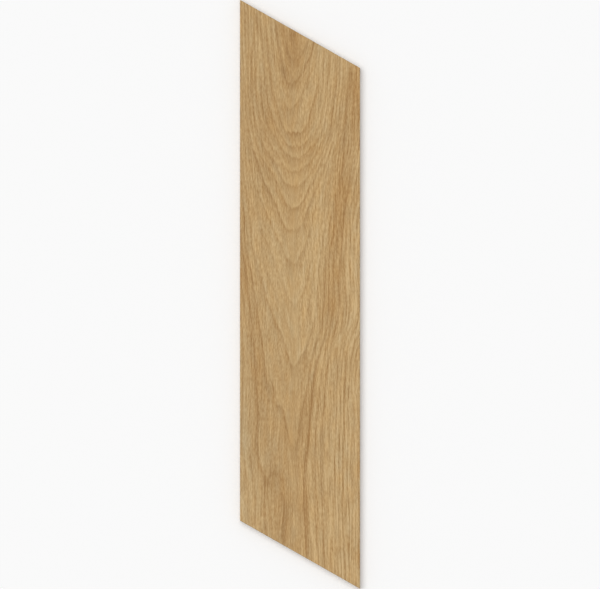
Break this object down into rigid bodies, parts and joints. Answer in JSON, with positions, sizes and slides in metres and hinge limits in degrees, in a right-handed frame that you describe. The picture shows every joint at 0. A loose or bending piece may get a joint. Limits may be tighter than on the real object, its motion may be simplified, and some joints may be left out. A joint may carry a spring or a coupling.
{
  "type": "chevron wall tile",
  "caption": "Parallelogram porcelain plank with a matte oak-grain print, slanted parallel ends, a micro-bevelled face and a keyed back.",
  "frame": {"origin": "middle of the tile's bounding box, on the plane of its back", "axes": "+Z out of the printed face, +Y along the long sides towards the tip at -X, +X across the tile"},
  "size_m": [0.11, 0.54, 0.01],
  "materials": {
    "porcelain": "matte glaze printed with oak grain over a buff fired body"
  },
  "bodies": {
    "root": {"chevron_tile": "porcelain"}
  },
  "joints": []
}
